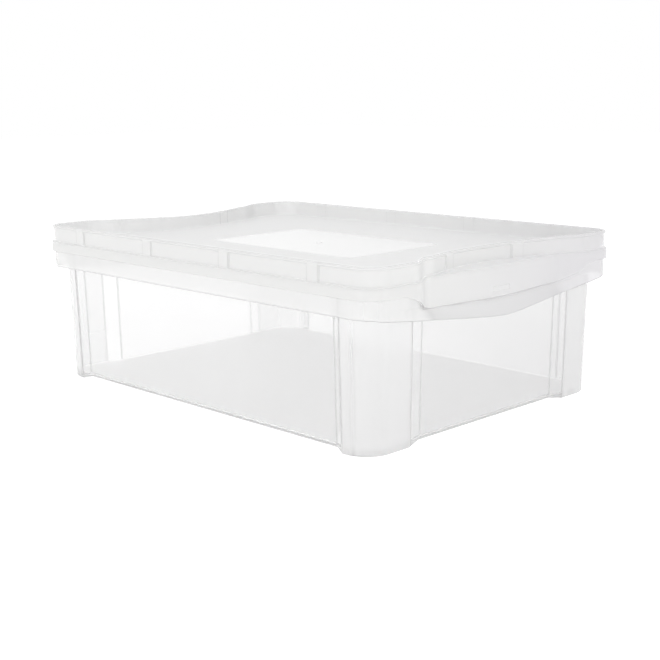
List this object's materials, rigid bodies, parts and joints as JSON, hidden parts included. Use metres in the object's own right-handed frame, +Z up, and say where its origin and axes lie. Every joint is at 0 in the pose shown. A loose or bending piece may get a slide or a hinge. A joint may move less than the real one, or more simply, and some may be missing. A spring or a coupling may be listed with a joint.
{
  "type": "storage box",
  "caption": "Translucent plastic storage box: open tub on corner feet with finger lips at both ends, and a tray-shaped lid that presses over its rim and lifts off.",
  "frame": {"origin": "midway between the four feet, on the surface they stand on", "axes": "+X along the box towards one finger lip, +Y across it, +Z up"},
  "size_m": [0.5, 0.367, 0.1687],
  "materials": {
    "tub_plastic": "translucent polypropylene, smooth moulded surface",
    "lid_plastic": "translucent polypropylene, finely textured plate with a polished window"
  },
  "bodies": {
    "tub": {"tub": "tub_plastic"},
    "lid": {"lid": "lid_plastic"}
  },
  "joints": [
    {"name": "lid_lift", "type": "slide", "parent": "tub", "child": "lid", "axis": [0, 0, 1], "range_m": [0, 0.15]}
  ]
}
